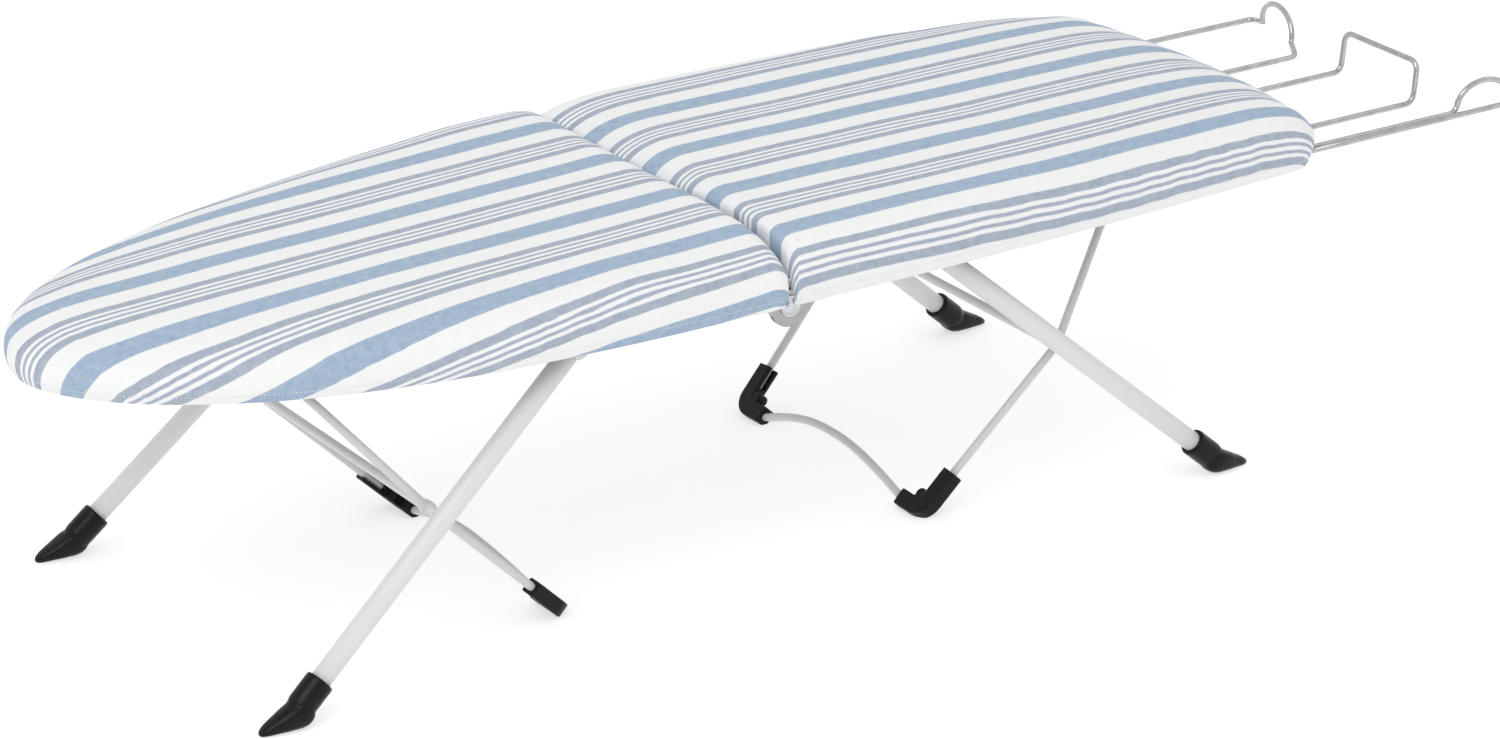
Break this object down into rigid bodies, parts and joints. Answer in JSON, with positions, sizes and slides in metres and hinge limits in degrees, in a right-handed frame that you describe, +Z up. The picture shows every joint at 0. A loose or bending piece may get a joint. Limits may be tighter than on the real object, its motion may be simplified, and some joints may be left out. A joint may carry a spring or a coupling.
{
  "type": "folding tabletop ironing board",
  "caption": "Folding tabletop ironing board with striped padded covers, crossed legs that fold flat and a pull-out wire iron rest.",
  "frame": {"origin": "middle of the base, on the floor, half way between the nose tip and the outer end of the pulled-out iron rest", "axes": "+X from the pointed nose end towards the square tail end and its iron rest, +Y towards the far side, +Z up"},
  "size_m": [1.0665, 0.318, 0.2418],
  "materials": {
    "cover_fabric": "woven cotton, blue and white stripes",
    "foam": "felted pad",
    "white_paint": "semi-gloss white paint on steel",
    "zinc": "dull zinc plate",
    "chrome": "bright plate",
    "black_plastic": "glossy black moulding"
  },
  "bodies": {
    "tail_half": {"tail_rim": "white_paint", "tail_hinge_rail": "white_paint", "tail_deck": "zinc", "tail_pad": "foam", "tail_cover": "cover_fabric", "hinge_plate_tail_near": "zinc", "hinge_plate_tail_far": "zinc", "hinge_pin_near": "zinc", "hinge_pin_far": "zinc", "tail_leg_bracket_near": "zinc", "tail_leg_bracket_far": "zinc", "tail_leg_pin_near": "zinc", "tail_leg_pin_far": "zinc", "tail_latch_plate_near": "zinc", "tail_latch_plate_far": "zinc", "rest_guide": "zinc"},
    "nose_half": {"nose_rim": "white_paint", "nose_hinge_rail": "white_paint", "nose_deck": "zinc", "nose_pad": "foam", "nose_cover": "cover_fabric", "hinge_plate_nose_near": "zinc", "hinge_plate_nose_far": "zinc", "nose_leg_bracket_near": "zinc", "nose_leg_bracket_far": "zinc", "nose_leg_pin_near": "zinc", "nose_leg_pin_far": "zinc", "nose_latch_plate_near": "zinc", "nose_latch_plate_far": "zinc"},
    "tail_legs": {"tail_leg_near": "white_paint", "tail_leg_far": "white_paint", "tail_foot_near": "black_plastic", "tail_foot_far": "black_plastic", "tail_cross_axle": "white_paint"},
    "tail_brace": {"tail_brace_wire": "white_paint", "tail_corner_foot_near": "black_plastic", "tail_corner_foot_far": "black_plastic"},
    "nose_legs": {"nose_leg_near": "white_paint", "nose_leg_far": "white_paint", "nose_foot_near": "black_plastic", "nose_foot_far": "black_plastic", "nose_cross_axle": "white_paint"},
    "nose_brace": {"nose_brace_wire": "white_paint", "nose_corner_foot_near": "black_plastic", "nose_corner_foot_far": "black_plastic"},
    "iron_rest": {"iron_rest_wire": "chrome"}
  },
  "joints": [
    {"name": "board_fold", "type": "hinge", "parent": "tail_half", "child": "nose_half", "pos_m": [-0.0764, 0, 0.195], "axis": [0, -1, 0], "range_deg": [0, 164]},
    {"name": "tail_leg_fold", "type": "hinge", "parent": "tail_half", "child": "tail_legs", "pos_m": [0.0555, 0, 0.192], "axis": [0, -1, 0], "range_deg": [0, 38.74]},
    {"name": "tail_brace_fold", "type": "hinge", "parent": "tail_legs", "child": "tail_brace", "pos_m": [0.15553, 0, 0.1053], "axis": [0, 1, 0], "range_deg": [0, 85.03]},
    {"name": "nose_leg_fold", "type": "hinge", "parent": "nose_half", "child": "nose_legs", "pos_m": [-0.2198, 0, 0.192], "axis": [0, 1, 0], "range_deg": [0, 38.74]},
    {"name": "nose_brace_fold", "type": "hinge", "parent": "nose_legs", "child": "nose_brace", "pos_m": [-0.31983, 0, 0.1053], "axis": [0, -1, 0], "range_deg": [0, 85.03]},
    {"name": "iron_rest_slide", "type": "slide", "parent": "tail_half", "child": "iron_rest", "axis": [-1, 0, 0], "range_m": [0, 0.09]}
  ],
  "couplings": [
    {"joint": "tail_leg_fold", "follows": "board_fold", "ratio": 0.2361},
    {"joint": "tail_brace_fold", "follows": "board_fold", "ratio": 0.51835},
    {"joint": "nose_leg_fold", "follows": "board_fold", "ratio": 0.2361},
    {"joint": "nose_brace_fold", "follows": "board_fold", "ratio": 0.51835}
  ]
}
